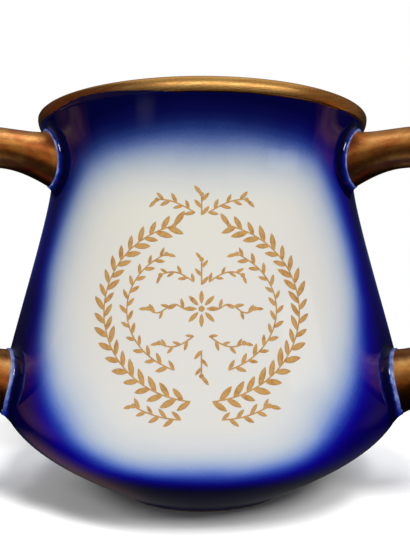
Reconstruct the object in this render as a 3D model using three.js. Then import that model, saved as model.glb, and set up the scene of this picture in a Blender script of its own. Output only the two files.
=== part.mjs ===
// Porcelain loving cup with three handles, in millimetres, +Z up.
// The cup's axis is Z, it stands on the plane z = 0, and its decorated front faces -Y.
// Each handle is bedded on a collar of slip, which also makes the fillet between arm and wall.
import * as THREE from 'three';

// Body: a wide belly over a small foot, drawn in to a waist below a turned-out lip.
const CUP_HEIGHT = 114;
const BELLY_RADIUS = 61.55;
const BELLY_HEIGHT = 31.8;
const WAIST_RADIUS = 47.36;
const WAIST_DEPTH_BELOW_TOP = 19.6;
const WALL_THICKNESS = 3.4;
const BASE_THICKNESS = 3.8;
const FLOOR_RISE = 4;

// How far each stretch of the outline keeps its end's direction, as a share of its span.
const FOOT_FULLNESS = 0.51;
const UNDER_BELLY_FULLNESS = 0.41;
const OVER_BELLY_FULLNESS = 0.124;
const UNDER_WAIST_FULLNESS = 0.163;
const OVER_WAIST_FULLNESS = 0.39;
const UNDER_LIP_FULLNESS = 0.27;
const FOOT_ANGLE = THREE.MathUtils.degToRad(28.2);

// Gilt lip: a rounded edge on the body's flat top, widest a little under its crown.
const LIP_RADIUS = 51.4;
const LIP_OVERHANG = 0.74;
const LIP_EDGE_DEPTH_BELOW_TOP = 0.9;
const LIP_CROWN_INSET = 1.9;
const LIP_BAND_HEIGHT = 3.6;
const LIP_ANGLE = THREE.MathUtils.degToRad(26);
const LIP_FACE_FULLNESS = 0.4;
const LIP_CROWN_FULLNESS = 0.6;

// Foot ring and the slightly raised underside inside it.
const FOOT_HEIGHT = 2;
const FOOT_RADIUS = 26.9;
const FOOT_TOP_RADIUS = 28.6;
const FOOT_RING_WIDTH = 3.4;
const FOOT_EDGE = 0.4;
const SPRING_RADIUS = 29.4;
const UNDERSIDE_HEIGHT = 1.2;

// Handles: ear-shaped, round in the grip, spread at both roots, and evenly spaced from the back one.
const HANDLE_OFFSET = 26.45;
const GRIP_THICKNESS = 10.9;
const GRIP_WIDTH = 11.8;
const REACH_SHARE = 0.66;
const UPPER_REACH_FULLNESS = 0.93;
const LOWER_REACH_FULLNESS = 0.6;
const UPPER_ROOT_DEPTH_BELOW_TOP = 15.9;
const UPPER_ROOT = {
  height: 16.5,
  width: 12.6,
  spreadLength: 15.5,
  angle: THREE.MathUtils.degToRad(15.5),
  fullness: 0.65,
};
const LOWER_ROOT_HEIGHT = 36.7;
const LOWER_ROOT = {
  height: 17.6,
  width: 15.6,
  spreadLength: 26,
  angle: THREE.MathUtils.degToRad(23),
  fullness: 0.68,
};
const HANDLE_SIDES = ['back', 'left', 'right'];
const BACK_ANGLE = THREE.MathUtils.degToRad(90);

// Slip collars and the clearance between pieces that are bedded on each other.
const COLLAR_THICKNESS = 2.3;
const COLLAR_FLARE_WIDTH = 2.4;
const ROOT_LEAN_LENGTH = 10;
const BEDDING_GAP = 0.3;

// Fineness of the facets.
const TURNS = 72;
const OUTLINE_SAMPLES = 120;
const OUTER_STEPS = 22;
const INNER_STEPS = 12;
const FLOOR_STEPS = 4;
const LIP_STEPS = 3;
const HANDLE_STEPS = 27;
const SECTION_SIDES = 18;
const COLLAR_STEPS = 5;
const END_RINGS = 4;
const CURVE_DIVISIONS = 400;
const LANDING_STEPS = 12;

// Places that follow from the sizes above.
const SEAT_HEIGHT = CUP_HEIGHT - LIP_BAND_HEIGHT;
const WAIST_HEIGHT = CUP_HEIGHT - WAIST_DEPTH_BELOW_TOP;
const SEAT_CORNER = new THREE.Vector2(LIP_RADIUS - LIP_OVERHANG, SEAT_HEIGHT);
const UP_THE_LIP = new THREE.Vector2(Math.sin(LIP_ANGLE), Math.cos(LIP_ANGLE));
const FLOOR_HEIGHT = UNDERSIDE_HEIGHT + BASE_THICKNESS;
const FOOT_INNER_RADIUS = FOOT_RADIUS - FOOT_RING_WIDTH;
const HANDLE_REACH = BELLY_RADIUS + HANDLE_OFFSET;

const cobaltGlaze = new THREE.MeshStandardMaterial({ color: 0x1b2a86, roughness: 0.12, metalness: 0 });
const slipGlaze = new THREE.MeshStandardMaterial({ color: 0x27378f, roughness: 0.14, metalness: 0 });
const footGlaze = new THREE.MeshStandardMaterial({ color: 0x2a2a38, roughness: 0.3, metalness: 0 });
const burnishedGold = new THREE.MeshStandardMaterial({ color: 0xb8863b, roughness: 0.34, metalness: 0.9 });

// Outline of the body from the foot to the lip: three curves that meet upright at belly and waist.
function bodyOutline() {
  const foot = new THREE.Vector2(SPRING_RADIUS, FOOT_HEIGHT);
  const belly = new THREE.Vector2(BELLY_RADIUS, BELLY_HEIGHT);
  const waist = new THREE.Vector2(WAIST_RADIUS, WAIST_HEIGHT);
  const underBelly = belly.y - foot.y;
  const shoulder = waist.y - belly.y;
  const neck = SEAT_HEIGHT - waist.y;
  const leaveFoot = (belly.x - foot.x) * FOOT_FULLNESS;
  const outAndUp = new THREE.Vector2(Math.cos(FOOT_ANGLE), Math.sin(FOOT_ANGLE));
  const stretches = [
    new THREE.CubicBezierCurve(
      foot,
      foot.clone().addScaledVector(outAndUp, leaveFoot),
      new THREE.Vector2(belly.x, belly.y - underBelly * UNDER_BELLY_FULLNESS),
      belly,
    ),
    new THREE.CubicBezierCurve(
      belly,
      new THREE.Vector2(belly.x, belly.y + shoulder * OVER_BELLY_FULLNESS),
      new THREE.Vector2(waist.x, waist.y - shoulder * UNDER_WAIST_FULLNESS),
      waist,
    ),
    new THREE.CubicBezierCurve(
      waist,
      new THREE.Vector2(waist.x, waist.y + neck * OVER_WAIST_FULLNESS),
      SEAT_CORNER.clone().addScaledVector(UP_THE_LIP, -neck * UNDER_LIP_FULLNESS),
      SEAT_CORNER,
    ),
  ];
  const path = new THREE.CurvePath();
  stretches.forEach((stretch) => path.add(stretch));
  return path;
}

// Radius at a height on a rising run of points, with straight steps between them.
function radiusAt(points, height) {
  const last = points.length - 1;
  let above = points.findIndex((point) => point.y >= height);
  if (above < 0) above = last;
  above = Math.max(above, 1);
  const low = points[above - 1];
  const high = points[above];
  const share = THREE.MathUtils.clamp((height - low.y) / (high.y - low.y), 0, 1);
  return THREE.MathUtils.lerp(low.x, high.x, share);
}

// The inside of the wall, one wall thickness square in from the outline.
function innerOutline(path) {
  const points = [];
  for (let i = 0; i <= OUTLINE_SAMPLES; i += 1) {
    const share = i / OUTLINE_SAMPLES;
    const point = path.getPoint(share);
    const along = path.getTangent(share);
    points.push(new THREE.Vector2(point.x - along.y * WALL_THICKNESS, point.y + along.x * WALL_THICKNESS));
  }
  return points;
}

const outline = bodyOutline();
const outerPoints = outline.getSpacedPoints(OUTLINE_SAMPLES);
const innerPoints = innerOutline(outline);
const innerSeatRadius = radiusAt(innerPoints, SEAT_HEIGHT);

// Turns a profile of radius and height round the Z axis.
function turned(profile) {
  const geometry = new THREE.LatheGeometry(profile, TURNS);
  geometry.rotateX(Math.PI / 2);
  return geometry;
}

// Inside of the base: level at the axis, then swept up into the wall.
function floorCurve() {
  const riseHeight = FLOOR_HEIGHT + FLOOR_RISE;
  return new THREE.QuadraticBezierCurve(
    new THREE.Vector2(radiusAt(innerPoints, riseHeight), riseHeight),
    new THREE.Vector2(radiusAt(innerPoints, FLOOR_HEIGHT), FLOOR_HEIGHT),
    new THREE.Vector2(0, FLOOR_HEIGHT),
  );
}

// Body shell: underside pad, outside wall, flat seat for the lip, inside wall and floor.
function bowlGeometry() {
  const padRadius = FOOT_INNER_RADIUS - BEDDING_GAP;
  const profile = [
    new THREE.Vector2(0, UNDERSIDE_HEIGHT),
    new THREE.Vector2(padRadius, UNDERSIDE_HEIGHT),
    new THREE.Vector2(padRadius, FOOT_HEIGHT),
  ];
  profile.push(...outline.getSpacedPoints(OUTER_STEPS));
  const riseHeight = FLOOR_HEIGHT + FLOOR_RISE;
  for (let i = 0; i < INNER_STEPS; i += 1) {
    const height = THREE.MathUtils.lerp(SEAT_HEIGHT, riseHeight, i / INNER_STEPS);
    profile.push(new THREE.Vector2(radiusAt(innerPoints, height), height));
  }
  profile.push(...floorCurve().getPoints(FLOOR_STEPS));
  return turned(profile);
}

// Foot ring: flat standing face, eased edges and a side that spreads towards the body.
function footGeometry() {
  const profile = [
    new THREE.Vector2(FOOT_INNER_RADIUS + FOOT_EDGE, 0),
    new THREE.Vector2(FOOT_RADIUS - FOOT_EDGE, 0),
    new THREE.Vector2(FOOT_RADIUS, FOOT_EDGE),
    new THREE.Vector2((FOOT_RADIUS + FOOT_TOP_RADIUS) / 2, FOOT_HEIGHT - FOOT_EDGE),
    new THREE.Vector2(FOOT_TOP_RADIUS, FOOT_HEIGHT),
    new THREE.Vector2(FOOT_INNER_RADIUS, FOOT_HEIGHT),
    new THREE.Vector2(FOOT_INNER_RADIUS, FOOT_EDGE),
    new THREE.Vector2(FOOT_INNER_RADIUS + FOOT_EDGE, 0),
  ];
  return turned(profile);
}

// Gilt lip: up from the seat to its widest place, over the crown and down to the inside wall.
function rimGeometry() {
  const inner = new THREE.Vector2(innerSeatRadius, SEAT_HEIGHT);
  const edge = new THREE.Vector2(LIP_RADIUS, CUP_HEIGHT - LIP_EDGE_DEPTH_BELOW_TOP);
  const crown = new THREE.Vector2(LIP_RADIUS - LIP_CROWN_INSET, CUP_HEIGHT);
  const faceReach = (edge.y - SEAT_HEIGHT) * LIP_FACE_FULLNESS;
  const innerReach = LIP_BAND_HEIGHT * LIP_FACE_FULLNESS;
  const stretches = [
    new THREE.CubicBezierCurve(
      SEAT_CORNER,
      SEAT_CORNER.clone().addScaledVector(UP_THE_LIP, faceReach),
      new THREE.Vector2(edge.x, edge.y - faceReach),
      edge,
    ),
    new THREE.CubicBezierCurve(
      edge,
      new THREE.Vector2(edge.x, edge.y + LIP_EDGE_DEPTH_BELOW_TOP * LIP_CROWN_FULLNESS),
      new THREE.Vector2(crown.x + LIP_CROWN_INSET * LIP_CROWN_FULLNESS, crown.y),
      crown,
    ),
    new THREE.CubicBezierCurve(
      crown,
      new THREE.Vector2(crown.x - innerReach, crown.y),
      inner.clone().addScaledVector(UP_THE_LIP, innerReach),
      inner,
    ),
  ];
  const profile = [inner, SEAT_CORNER];
  stretches.forEach((stretch) => profile.push(...stretch.getPoints(LIP_STEPS).slice(1)));
  return turned(profile);
}

// Closes a run of rings of points, with one point at each end, into a solid skin.
function skinned(start, rings, end) {
  const sides = rings[0].length;
  const vertices = [start, ...rings.flat(), end];
  const ringStart = (ring) => 1 + ring * sides;
  const endIndex = vertices.length - 1;
  const indices = [];
  for (let side = 0; side < sides; side += 1) {
    const next = (side + 1) % sides;
    indices.push(0, ringStart(0) + next, ringStart(0) + side);
    for (let ring = 1; ring < rings.length; ring += 1) {
      const back = ringStart(ring - 1);
      const front = ringStart(ring);
      indices.push(back + side, back + next, front + side);
      indices.push(back + next, front + next, front + side);
    }
    const last = ringStart(rings.length - 1);
    indices.push(endIndex, last + side, last + next);
  }
  const geometry = new THREE.BufferGeometry();
  geometry.setFromPoints(vertices);
  geometry.setIndex(indices);
  return geometry;
}

// Centre line of a handle in its own plane: X out from the cup's axis, Z up.
function handleCurve() {
  const upperHeight = CUP_HEIGHT - UPPER_ROOT_DEPTH_BELOW_TOP;
  const upper = new THREE.Vector3(radiusAt(outerPoints, upperHeight), 0, upperHeight);
  const lower = new THREE.Vector3(radiusAt(outerPoints, LOWER_ROOT_HEIGHT), 0, LOWER_ROOT_HEIGHT);
  const reachHeight = THREE.MathUtils.lerp(lower.z, upper.z, REACH_SHARE);
  const reach = new THREE.Vector3(HANDLE_REACH, 0, reachHeight);
  const upperPull = (reach.x - upper.x) * UPPER_ROOT.fullness;
  const lowerPull = (reach.x - lower.x) * LOWER_ROOT.fullness;
  const upperLeave = new THREE.Vector3(
    upper.x + upperPull * Math.cos(UPPER_ROOT.angle),
    0,
    upper.z + upperPull * Math.sin(UPPER_ROOT.angle),
  );
  const lowerLeave = new THREE.Vector3(
    lower.x + lowerPull * Math.cos(LOWER_ROOT.angle),
    0,
    lower.z + lowerPull * Math.sin(LOWER_ROOT.angle),
  );
  const overReach = new THREE.Vector3(reach.x, 0, reach.z + (upper.z - reach.z) * UPPER_REACH_FULLNESS);
  const underReach = new THREE.Vector3(reach.x, 0, reach.z - (reach.z - lower.z) * LOWER_REACH_FULLNESS);
  const path = new THREE.CurvePath();
  path.arcLengthDivisions = CURVE_DIVISIONS;
  path.add(new THREE.CubicBezierCurve3(upper, upperLeave, overReach, reach));
  path.add(new THREE.CubicBezierCurve3(reach, underReach, lowerLeave, lower));
  return path;
}

// How much of a root's spread is left at a distance from it.
function spreadAt(distance, root) {
  const share = Math.max(0, 1 - distance / root.spreadLength);
  return share * share;
}

// Half sizes of the handle's oval section at a distance along its centre line.
function sectionAt(distance, length) {
  const upper = spreadAt(distance, UPPER_ROOT);
  const lower = spreadAt(length - distance, LOWER_ROOT);
  const thickness = GRIP_THICKNESS
    + upper * (UPPER_ROOT.height - GRIP_THICKNESS)
    + lower * (LOWER_ROOT.height - GRIP_THICKNESS);
  const width = GRIP_WIDTH
    + upper * (UPPER_ROOT.width - GRIP_WIDTH)
    + lower * (LOWER_ROOT.width - GRIP_WIDTH);
  return { halfThick: thickness / 2, halfWide: width / 2 };
}

// Centre, direction and section of the handle at a distance from its upper root.
function stationAt(curve, distance) {
  const length = curve.getLength();
  const centre = curve.getPointAt(distance / length);
  const along = curve.getTangentAt(distance / length);
  return { centre, along, ...sectionAt(distance, length) };
}

// The same for either root, at a distance out from the wall and looking away from the body.
function rootStation(curve, root, distance) {
  if (root === 'upper') return stationAt(curve, distance);
  const station = stationAt(curve, curve.getLength() - distance);
  station.along.negate();
  return station;
}

// Oval ring square to the handle, grown by an amount and then shrunk to a share.
function ovalRing(station, grow, share) {
  const across = new THREE.Vector3(0, 1, 0);
  const upward = new THREE.Vector3().crossVectors(station.along, across);
  const ring = [];
  for (let side = 0; side < SECTION_SIDES; side += 1) {
    const angle = (side / SECTION_SIDES) * 2 * Math.PI;
    const point = station.centre.clone();
    point.addScaledVector(across, (station.halfWide + grow) * share * Math.cos(angle));
    point.addScaledVector(upward, (station.halfThick + grow) * share * Math.sin(angle));
    ring.push(point);
  }
  return ring;
}

// Slides a point along a direction until it stands clear of the outside wall by a given amount.
function landed(point, direction, clearance) {
  const result = point.clone();
  for (let step = 0; step < LANDING_STEPS; step += 1) {
    const wall = radiusAt(outerPoints, result.z);
    const stands = Math.hypot(result.x, result.y) - wall;
    result.addScaledVector(direction, clearance - stands);
  }
  return result;
}

// Oval ring laid on the wall, all of it at one clearance.
function wallRing(station, grow, share, clearance) {
  const ring = ovalRing(station, grow, share);
  return ring.map((point) => landed(point, station.along, clearance));
}

// Rings that fill an end face shaped to the wall, from near its middle to near its edge.
function endRings(station, grow, clearance) {
  const rings = [];
  for (let ring = 1; ring < END_RINGS; ring += 1) {
    rings.push(wallRing(station, grow, ring / END_RINGS, clearance));
  }
  return rings;
}

// Collar of slip: hollowed sides that run out from the arm's oval to a wider one on the wall.
function collarGeometry(curve, root) {
  const inner = rootStation(curve, root, BEDDING_GAP);
  const outer = rootStation(curve, root, COLLAR_THICKNESS);
  const rings = endRings(inner, COLLAR_FLARE_WIDTH, BEDDING_GAP);
  for (let step = 0; step <= COLLAR_STEPS; step += 1) {
    const share = step / COLLAR_STEPS;
    const clearance = THREE.MathUtils.lerp(BEDDING_GAP, COLLAR_THICKNESS, share);
    const grow = COLLAR_FLARE_WIDTH * (1 - share) ** 2;
    rings.push(wallRing(rootStation(curve, root, clearance), grow, 1, clearance));
  }
  rings.push(...endRings(outer, 0, COLLAR_THICKNESS).reverse());
  const start = landed(inner.centre, inner.along, BEDDING_GAP);
  const end = landed(outer.centre, outer.along, COLLAR_THICKNESS);
  return skinned(start, rings, end);
}

// One oval of the handle, which takes the wall's curve as it nears a root.
function handleRing(curve, distance, clearance) {
  const station = stationAt(curve, distance);
  const toLower = curve.getLength() - distance;
  const away = distance < toLower ? station.along : station.along.clone().negate();
  const fromRoot = Math.min(distance, toLower);
  const lean = Math.max(0, 1 - (fromRoot - clearance) / ROOT_LEAN_LENGTH);
  const ring = ovalRing(station, 0, 1);
  return ring.map((point) => point.lerp(landed(point, away, fromRoot), lean * lean));
}

// The lower root is drawn looking at the body, so its rings run the other way round.
function turnedOver(ring) {
  return ring.map((point, side) => ring[(ring.length - side) % ring.length]);
}

// Handle: ovals along the centre line, closer together near the roots, with ends shaped to the wall.
function handleGeometry(curve) {
  const clearance = COLLAR_THICKNESS + BEDDING_GAP;
  const length = curve.getLength();
  const upper = rootStation(curve, 'upper', clearance);
  const lower = rootStation(curve, 'lower', clearance);
  const rings = endRings(upper, 0, clearance);
  for (let step = 0; step <= HANDLE_STEPS; step += 1) {
    const share = (1 - Math.cos((step / HANDLE_STEPS) * Math.PI)) / 2;
    const distance = THREE.MathUtils.lerp(clearance, length - clearance, share);
    rings.push(handleRing(curve, distance, clearance));
  }
  rings.push(...endRings(lower, 0, clearance).reverse().map(turnedOver));
  const start = landed(upper.centre, upper.along, clearance);
  const end = landed(lower.centre, lower.along, clearance);
  return skinned(start, rings, end);
}

// Named mesh added to a parent.
function addPiece(parent, name, geometry, material) {
  const mesh = new THREE.Mesh(geometry, material);
  mesh.name = name;
  parent.add(mesh);
}

const cup = new THREE.Group();
addPiece(cup, 'foot_ring', footGeometry(), footGlaze);
addPiece(cup, 'bowl', bowlGeometry(), cobaltGlaze);
addPiece(cup, 'gilt_rim', rimGeometry(), burnishedGold);

const curve = handleCurve();
for (const [index, side] of HANDLE_SIDES.entries()) {
  const arm = new THREE.Group();
  arm.rotation.z = BACK_ANGLE + (index * 2 * Math.PI) / HANDLE_SIDES.length;
  addPiece(arm, `handle_${side}`, handleGeometry(curve), burnishedGold);
  addPiece(arm, `collar_${side}_upper`, collarGeometry(curve, 'upper'), slipGlaze);
  addPiece(arm, `collar_${side}_lower`, collarGeometry(curve, 'lower'), slipGlaze);
  cup.add(arm);
}

export default cup;
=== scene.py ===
# %% [markdown]
# # A three-handled loving cup in cobalt and gold
# The cup is turned porcelain: a wide belly, a drawn-in neck and a rounded lip on a low foot ring.
# Three pulled handles stand at equal angles, so that the cup can be passed round a table.
# The colour is cobalt, sprayed round white reserves, and the lip and the handles are gilded.
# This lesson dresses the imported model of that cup, piece by piece, in the same place and size.

# %% Load the frame
import math

import bpy
import numpy as np
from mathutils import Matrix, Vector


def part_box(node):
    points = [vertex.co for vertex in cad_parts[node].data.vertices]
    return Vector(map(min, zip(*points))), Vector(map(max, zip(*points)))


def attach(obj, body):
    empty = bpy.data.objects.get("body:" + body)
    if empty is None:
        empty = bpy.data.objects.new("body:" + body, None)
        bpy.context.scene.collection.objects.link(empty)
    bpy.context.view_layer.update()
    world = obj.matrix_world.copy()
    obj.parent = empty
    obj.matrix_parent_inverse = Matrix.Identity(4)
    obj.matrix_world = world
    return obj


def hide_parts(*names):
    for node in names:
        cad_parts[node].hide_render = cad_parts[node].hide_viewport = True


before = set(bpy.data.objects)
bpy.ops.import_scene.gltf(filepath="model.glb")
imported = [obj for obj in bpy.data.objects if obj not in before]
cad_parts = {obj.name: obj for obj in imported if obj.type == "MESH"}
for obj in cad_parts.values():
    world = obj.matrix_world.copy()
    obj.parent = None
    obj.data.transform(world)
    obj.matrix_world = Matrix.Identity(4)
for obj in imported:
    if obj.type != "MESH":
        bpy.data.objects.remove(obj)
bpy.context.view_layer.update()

print("frame nodes:", ", ".join(sorted(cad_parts)))

# %% [markdown]
# ## The driving sizes
# A potter throws to a few sizes: height, belly, waist, lip and wall. They are in millimetres here,
# as on the drawing, and every other size follows from them. `MM` turns them into Blender's metres.

# %% Driving sizes of the turned body
MM = 0.001
CUP_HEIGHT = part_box("gilt_rim")[1][2] / MM
BELLY_RADIUS = -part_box("bowl")[0][1] / MM
BELLY_HEIGHT = 31.8
WAIST_RADIUS = 47.36
WAIST_HEIGHT = CUP_HEIGHT - 19.6
WALL_THICKNESS = 3.4
BASE_THICKNESS = 3.8
FLOOR_RISE = 4.0
SPRING_RADIUS = 29.4
FOOT_HEIGHT = 2.0
FOOT_RADIUS = 26.9
FOOT_TOP_RADIUS = 28.6
FOOT_INNER_RADIUS = FOOT_RADIUS - 3.4
FOOT_EDGE = 0.4
FOOT_GAP = 0.3
UNDERSIDE_HEIGHT = 1.2
LIP_RADIUS = 51.4
LIP_EDGE_HEIGHT = CUP_HEIGHT - 0.9
LIP_CROWN_RADIUS = LIP_RADIUS - 1.9
LIP_ANGLE = math.radians(26)
SEAT_RADIUS = LIP_RADIUS - 0.74
SEAT_HEIGHT = CUP_HEIGHT - 3.6
FOOT_ANGLE = math.radians(28.2)
FULLNESS = {"foot": 0.51, "under_belly": 0.41, "over_belly": 0.124,
            "under_waist": 0.163, "over_waist": 0.39, "lip": 0.27}
print("cup:", round(CUP_HEIGHT, 1), "mm high,", round(2 * BELLY_RADIUS, 1), "mm across the belly")

# %% [markdown]
# ## The outline
# A turned wall is one smooth line from foot to lip. Three Bezier curves that meet upright at the
# belly and at the waist draw it, with a fullness for each end: that is how a potter's rib would be
# cut. The inside is the same line, one wall thickness square in.

# %% Outline of the body


def bezier(points, count):
    """Points along a cubic Bezier curve."""
    t = np.linspace(0, 1, count)[:, None]
    back = 1 - t
    start, leave, arrive, end = np.array(points, float)
    return back ** 3 * start + 3 * back ** 2 * t * leave + 3 * back * t ** 2 * arrive + t ** 3 * end


def up_the_lip(point, distance):
    """A point further up the slope that the wall has under the lip."""
    return (point[0] + distance * math.sin(LIP_ANGLE), point[1] + distance * math.cos(LIP_ANGLE))


def body_outline(count=70):
    """Radius and height of the outside wall, from the foot up to the lip's seat."""
    foot, belly = (SPRING_RADIUS, FOOT_HEIGHT), (BELLY_RADIUS, BELLY_HEIGHT)
    waist, seat = (WAIST_RADIUS, WAIST_HEIGHT), (SEAT_RADIUS, SEAT_HEIGHT)
    leave = (belly[0] - foot[0]) * FULLNESS["foot"]
    rise, shoulder, neck = belly[1] - foot[1], waist[1] - belly[1], seat[1] - waist[1]
    lower = bezier([foot, (foot[0] + leave * math.cos(FOOT_ANGLE), foot[1] + leave * math.sin(FOOT_ANGLE)),
                    (belly[0], belly[1] - rise * FULLNESS["under_belly"]), belly], count)
    middle = bezier([belly, (belly[0], belly[1] + shoulder * FULLNESS["over_belly"]),
                     (waist[0], waist[1] - shoulder * FULLNESS["under_waist"]), waist], count)
    upper = bezier([waist, (waist[0], waist[1] + neck * FULLNESS["over_waist"]),
                    up_the_lip(seat, -neck * FULLNESS["lip"]), seat], count // 2)
    return np.concatenate([lower, middle[1:], upper[1:]])


def offset_inward(line, distance):
    """The line moved square to itself towards the axis."""
    along = np.gradient(line, axis=0)
    along /= np.linalg.norm(along, axis=1)[:, None]
    return line + distance * np.stack([-along[:, 1], along[:, 0]], axis=1)


outline = body_outline()
inner_line = offset_inward(outline, WALL_THICKNESS)


def wall_radius(height):
    """Radius of the outside wall at a height, in millimetres."""
    return np.interp(height, outline[:, 1], outline[:, 0])


def inner_radius(height):
    """Radius of the inside wall at a height, in millimetres."""
    return float(np.interp(height, inner_line[:, 1], inner_line[:, 0]))


print("belly:", round(BELLY_RADIUS, 2), "mm, waist:", WAIST_RADIUS, "mm, inside the lip:",
      round(inner_radius(SEAT_HEIGHT), 2), "mm")

# %% [markdown]
# ## The camera
# The photograph looks level at the cup from close by, just above its middle height, so that the
# lip is seen from below, as a thin ellipse. The camera stands a little to the right of the axis
# and looks up by half a degree.

# %% Camera
CAMERA_PLACE = (0.0008, -0.197, 0.06492)
CAMERA_TILT = math.radians(0.51)
LENS, SENSOR_WIDTH = 40.11, 36.0
camera = bpy.data.objects.new("camera", bpy.data.cameras.new("camera"))
camera.location = CAMERA_PLACE
camera.rotation_euler = (math.pi / 2 + CAMERA_TILT, 0, 0)
camera.data.lens, camera.data.sensor_width, camera.data.clip_start = LENS, SENSOR_WIDTH, 0.01
bpy.context.collection.objects.link(camera)
bpy.context.scene.camera = camera
print("camera at", CAMERA_PLACE, "with a lens of", LENS, "mm")

# %% [markdown]
# ## Node trees in short
# Shaders and Geometry Nodes are built the same way: a node, its settings, and what feeds each
# input. The tree being built lies on the bench, and every helper adds its nodes to that one, so the
# trees in this lesson read like sums.

# %% Helpers for node trees
bench = {}


def socket_named(sockets, name):
    """The socket in use that has this name, or this place in the list."""
    if isinstance(name, int):
        return sockets[name]
    return next(s for s in sockets if s.enabled and s.name == name)


def open_tree(tree):
    """Empties a tree and puts it on the bench: the helpers work on the tree that lies there."""
    tree.nodes.clear()
    bench["tree"] = tree


def link(output, socket):
    """Joins an output to an input."""
    bench["tree"].links.new(output, socket)


def add_node(kind, feeds=None, **settings):
    """Adds a node, sets it, and feeds its inputs from sockets or plain values."""
    node = bench["tree"].nodes.new(kind)
    for name, value in settings.items():
        setattr(node, name, value)
    for name, value in (feeds or {}).items():
        socket = socket_named(node.inputs, name)
        if isinstance(value, bpy.types.NodeSocket):
            link(value, socket)
        else:
            socket.default_value = value
    return node


def take(output, kind, feeds=None, **settings):
    """Adds a node and takes this output from it."""
    return socket_named(add_node(kind, feeds, **settings).outputs, output)


def calc(operation, *values):
    """One step of arithmetic on numbers or sockets."""
    return add_node("ShaderNodeMath", dict(enumerate(values)), operation=operation).outputs[0]


def times(first, second):
    """The product of two numbers or sockets."""
    return calc("MULTIPLY", first, second)


def plus(first, second):
    """The sum of two numbers or sockets."""
    return calc("ADD", first, second)


def times_plus(value, factor, added):
    """The value times the factor, plus what is added."""
    return calc("MULTIPLY_ADD", value, factor, added)


def vector_calc(operation, *vectors, scale=None):
    """One step of arithmetic on vectors."""
    feeds = dict(enumerate(vectors))
    if scale is not None:
        feeds["Scale"] = scale
    output = "Value" if operation == "LENGTH" else "Vector"
    return take(output, "ShaderNodeVectorMath", feeds, operation=operation)


def parts_of(vector):
    """The X, Y and Z of a vector."""
    return add_node("ShaderNodeSeparateXYZ", {"Vector": vector}).outputs


def vector_of(x=0.0, y=0.0, z=0.0):
    """A vector put together from its X, Y and Z."""
    return take("Vector", "ShaderNodeCombineXYZ", {"X": x, "Y": y, "Z": z})


def mix(factor, first, second, kind="RGBA"):
    """A blend of two colours, vectors or numbers."""
    return take("Result", "ShaderNodeMix", {"Factor": factor, "A": first, "B": second}, data_type=kind)


def ramp_of(value, stops, low, high):
    """A colour ramp whose stops are given as (value, colour), between two ends."""
    share = take("Result", "ShaderNodeMapRange", {"Value": value, "From Min": low, "From Max": high})
    node = add_node("ShaderNodeValToRGB", {"Fac": share})
    elements = node.color_ramp.elements
    elements.remove(elements[0])
    elements[0].position, elements[0].color = (stops[0][0] - low) / (high - low), stops[0][1]
    for at, colour in stops[1:]:
        elements.new((at - low) / (high - low)).color = colour
    return node.outputs["Color"]


def new_tree(name, inputs):
    """An empty Geometry Nodes tree with named inputs, each given as (socket type, default)."""
    tree = bpy.data.node_groups.new(name, "GeometryNodeTree")
    open_tree(tree)
    for way in ("INPUT", "OUTPUT"):
        tree.interface.new_socket("Geometry", in_out=way, socket_type="NodeSocketGeometry")
    for label, (kind, default) in inputs.items():
        socket = tree.interface.new_socket(label, in_out="INPUT", socket_type="NodeSocket" + kind)
        if default is not None:
            socket.default_value = default
    return tree, tree.nodes.new("NodeGroupInput").outputs, tree.nodes.new("NodeGroupOutput").inputs


# %% Helpers for meshes


def volume_of(piece):
    """Volume inside a closed mesh in cubic millimetres, below zero if its faces look inwards."""
    mesh = piece.data
    mesh.calc_loop_triangles()
    corners = np.empty(len(mesh.vertices) * 3)
    mesh.vertices.foreach_get("co", corners)
    tris = np.empty(len(mesh.loop_triangles) * 3, int)
    mesh.loop_triangles.foreach_get("vertices", tris)
    a, b, c = (corners.reshape(-1, 3) / MM)[tris.reshape(-1, 3).T]
    return float(np.einsum("ij,ij->i", a, np.cross(b, c)).sum() / 6)


def grown(name, mesh, tree, values):
    """Runs a tree on a mesh and returns its result as an object with a plain mesh."""
    seed = bpy.data.objects.new(name + "_seed", mesh)
    bpy.context.collection.objects.link(seed)
    modifier = seed.modifiers.new("grow", "NODES")
    modifier.node_group = tree
    for item in tree.interface.items_tree:
        if item.item_type == "SOCKET" and item.in_out == "INPUT" and item.name in values:
            modifier[item.identifier] = values[item.name]
    depsgraph = bpy.context.evaluated_depsgraph_get()
    result = bpy.data.meshes.new_from_object(
        seed.evaluated_get(depsgraph), preserve_all_data_layers=True, depsgraph=depsgraph)
    seed.modifiers.remove(modifier)
    bpy.data.objects.remove(seed)
    result.name = name
    piece = bpy.data.objects.new(name, result)
    bpy.context.collection.objects.link(piece)
    if volume_of(piece) < 0:
        result.flip_normals()
    print(f"{name}: {len(result.polygons)} faces, {volume_of(piece):.0f} mm3")
    return piece


# %% [markdown]
# ## The room round the cup
# Glaze and gold are judged by what they mirror. One picture of a room could wrap the scene, but a
# lesson without pictures builds it: a world that is white where the camera looks past the cup, a
# dim room, brighter overhead, for rays that bounce off the glaze, and an even glow for the rest.

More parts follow.
